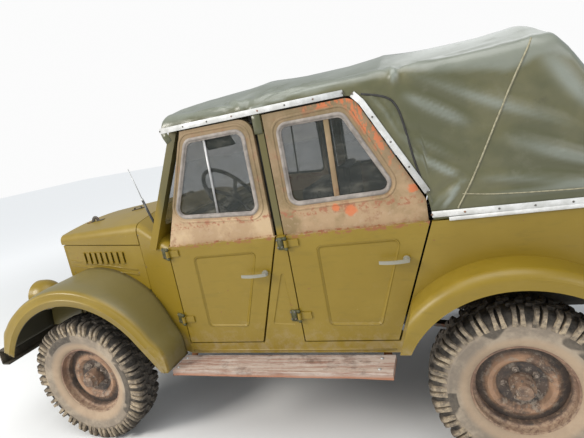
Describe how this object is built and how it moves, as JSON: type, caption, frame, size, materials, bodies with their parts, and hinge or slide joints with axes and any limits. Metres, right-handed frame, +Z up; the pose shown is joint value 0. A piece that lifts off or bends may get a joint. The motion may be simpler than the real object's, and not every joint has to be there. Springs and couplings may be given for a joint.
{
  "type": "army 4x4 car",
  "caption": "Light army 4x4 car with a canvas top, framed upper doors, louvred bonnet, rounded wings, wooden running boards and steel wheels on lugged tyres.",
  "frame": {"origin": "on the ground, under the middle of the car's box", "axes": "+X forward, +Y to the driver's side (left), +Z up"},
  "size_m": [3.85, 1.75, 1.88],
  "materials": {
    "body_paint": "satin",
    "chassis_paint": "matte",
    "cast_metal": "matte",
    "steel": "satin",
    "exhaust_steel": "matte",
    "glass": "gloss",
    "lamp_glass": "gloss",
    "canvas": "satin",
    "upholstery": "satin",
    "wood": "matte",
    "black_plastic": "satin",
    "wheel_paint": "matte",
    "tyre_rubber": "matte"
  },
  "bodies": {
    "body": {"bonnet_sides": "body_paint", "canvas_top": "canvas", "controls": "black_plastic", "cowl": "body_paint", "dashboard": "body_paint", "engine_block": "cast_metal", "exhaust": "exhaust_steel", "floor_pan": "chassis_paint", "frame": "chassis_paint", "frame_fittings": "chassis_paint", "front_axle": "cast_metal", "front_bumper": "chassis_paint", "front_seats": "upholstery", "front_wings": "body_paint", "fuel_tank": "chassis_paint", "gearbox": "cast_metal", "grille_panel": "body_paint", "headlamp_lenses": "lamp_glass", "headlamps": "body_paint", "propshafts": "steel", "quarter_panels": "body_paint", "radiator": "chassis_paint", "rear_axle": "cast_metal", "rear_deck": "chassis_paint", "rear_panel": "body_paint", "rear_seat": "upholstery", "rear_wings": "body_paint", "roof_frame": "chassis_paint", "running_boards": "wood", "seat_backs": "chassis_paint", "seat_frames": "chassis_paint", "sills_and_posts": "body_paint", "small_lamps": "lamp_glass", "springs": "steel", "windscreen_frame": "body_paint", "windscreen_glass": "glass"},
    "wheel_front_left": {"wheel_front_left": "wheel_paint", "tyre_front_left": "tyre_rubber"},
    "door_front_left": {"door_front_left": "body_paint", "glass_front_left": "glass"},
    "wheel_front_right": {"wheel_front_right": "wheel_paint", "tyre_front_right": "tyre_rubber"},
    "door_front_right": {"door_front_right": "body_paint", "glass_front_right": "glass"},
    "wheel_rear_left": {"wheel_rear_left": "wheel_paint", "tyre_rear_left": "tyre_rubber"},
    "door_rear_left": {"door_rear_left": "body_paint", "glass_rear_left": "glass"},
    "wheel_rear_right": {"wheel_rear_right": "wheel_paint", "tyre_rear_right": "tyre_rubber"},
    "door_rear_right": {"door_rear_right": "body_paint", "glass_rear_right": "glass"},
    "knuckle_left": {"knuckle_left": "cast_metal"},
    "knuckle_right": {"knuckle_right": "cast_metal"},
    "tie_rod": {"tie_rod": "steel"},
    "steering_wheel": {"steering_wheel": "black_plastic"},
    "bonnet": {"bonnet": "body_paint"},
    "tailgate": {"tailgate": "body_paint"}
  },
  "joints": [
    {"name": "steer_left", "type": "hinge", "parent": "body", "child": "knuckle_left", "pos_m": [1.285, 0.575, 0.38], "axis": [0, 0, 1], "range_deg": [-28, 28]},
    {"name": "steer_right", "type": "hinge", "parent": "body", "child": "knuckle_right", "pos_m": [1.285, -0.575, 0.38], "axis": [0, 0, 1], "range_deg": [-28, 28]},
    {"name": "tie_rod_pivot", "type": "hinge", "parent": "knuckle_left", "child": "tie_rod", "pos_m": [1.105, 0.575, 0.273], "axis": [0, 0, 1], "range_deg": [-28, 28]},
    {"name": "steering_wheel_turn", "type": "hinge", "parent": "body", "child": "steering_wheel", "pos_m": [0.315, 0.36, 1.29], "axis": [-0.7878, 0, 0.616], "range_deg": [-504, 504]},
    {"name": "wheel_front_left_spin", "type": "hinge", "parent": "knuckle_left", "child": "wheel_front_left", "pos_m": [1.285, 0.72, 0.38], "axis": [0, 1, 0], "continuous": true},
    {"name": "wheel_rear_left_spin", "type": "hinge", "parent": "body", "child": "wheel_rear_left", "pos_m": [-1.015, 0.72, 0.38], "axis": [0, 1, 0], "continuous": true},
    {"name": "door_front_left_hinge", "type": "hinge", "parent": "body", "child": "door_front_left", "pos_m": [0.583, 0.717, 1], "axis": [0, 0, -1], "range_deg": [0, 70]},
    {"name": "door_rear_left_hinge", "type": "hinge", "parent": "body", "child": "door_rear_left", "pos_m": [-0.072, 0.717, 1], "axis": [0, 0, -1], "range_deg": [0, 70]},
    {"name": "wheel_front_right_spin", "type": "hinge", "parent": "knuckle_right", "child": "wheel_front_right", "pos_m": [1.285, -0.72, 0.38], "axis": [0, 1, 0], "continuous": true},
    {"name": "wheel_rear_right_spin", "type": "hinge", "parent": "body", "child": "wheel_rear_right", "pos_m": [-1.015, -0.72, 0.38], "axis": [0, 1, 0], "continuous": true},
    {"name": "door_front_right_hinge", "type": "hinge", "parent": "body", "child": "door_front_right", "pos_m": [0.583, -0.717, 1], "axis": [0, 0, 1], "range_deg": [0, 70]},
    {"name": "door_rear_right_hinge", "type": "hinge", "parent": "body", "child": "door_rear_right", "pos_m": [-0.072, -0.717, 1], "axis": [0, 0, 1], "range_deg": [0, 70]},
    {"name": "bonnet_hinge", "type": "hinge", "parent": "body", "child": "bonnet", "pos_m": [0.846, 0, 1.298], "axis": [0, -1, 0], "range_deg": [0, 60]},
    {"name": "tailgate_hinge", "type": "hinge", "parent": "body", "child": "tailgate", "pos_m": [-1.904, 0, 0.812], "axis": [0, -1, 0], "range_deg": [0, 90]}
  ],
  "couplings": [
    {"joint": "steer_right", "follows": "steer_left", "ratio": 1},
    {"joint": "tie_rod_pivot", "follows": "steer_left", "ratio": -1},
    {"joint": "steering_wheel_turn", "follows": "steer_left", "ratio": 18}
  ]
}
